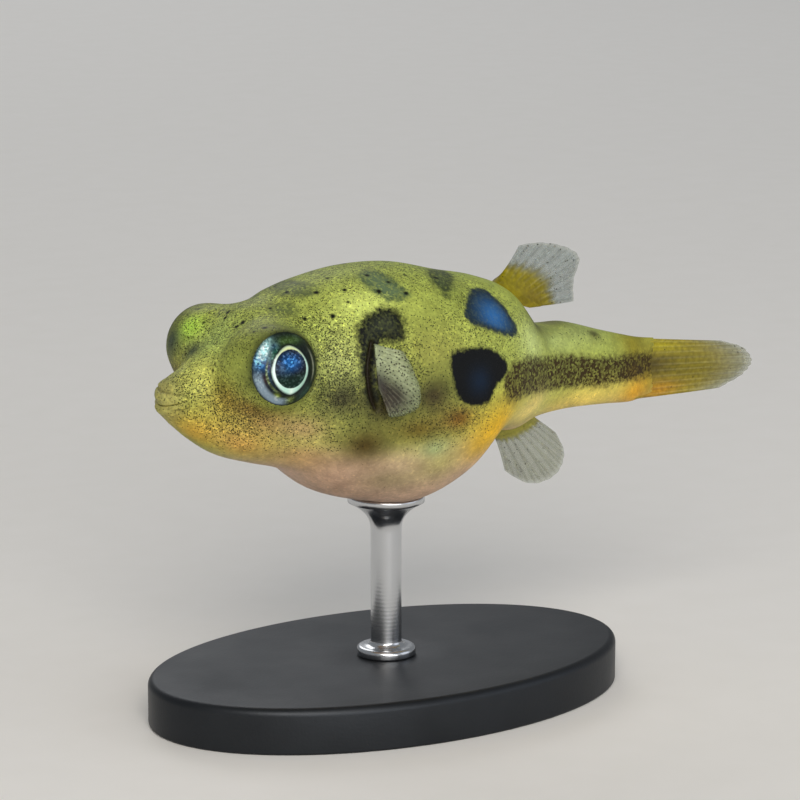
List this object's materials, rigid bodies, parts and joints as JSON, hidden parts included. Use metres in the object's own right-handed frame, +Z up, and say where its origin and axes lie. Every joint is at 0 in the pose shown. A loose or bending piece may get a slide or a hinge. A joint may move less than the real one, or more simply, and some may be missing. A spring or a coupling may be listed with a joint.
{
  "type": "freshwater pufferfish",
  "caption": "Small freshwater pufferfish, life size, held level by a rod on a flat oval display base.",
  "frame": {"origin": "centre of the underside of the stand's base, where it rests on a table", "axes": "+Z up; the head points to -X and the tail to +X; the fish's left side faces -Y"},
  "size_m": [0.0276, 0.0126, 0.0173],
  "materials": {
    "skin": "wet scaleless skin, yellow-green with fine black speckle, dark and blue blotches and a pale belly",
    "eye": "clear glossy eye with a dark blue pupil, a pale gold ring and a blue-green iris",
    "fin": "clear fin skin over fine rays, yellow at the roots and grey at the tips",
    "stand_base": "bead-blasted aluminium, anodised charcoal",
    "stand_rod": "turned and polished stainless steel"
  },
  "bodies": {
    "root": {"upper_lip": "skin", "lower_lip": "skin", "head": "skin", "trunk": "skin", "belly": "skin", "tail_stalk": "skin", "eye_left": "eye", "eye_right": "eye", "dorsal_fin": "fin", "anal_fin": "fin", "caudal_fin": "fin", "pectoral_fin_left": "fin", "pectoral_fin_right": "fin", "stand_base": "stand_base", "stand_rod": "stand_rod"}
  },
  "joints": []
}
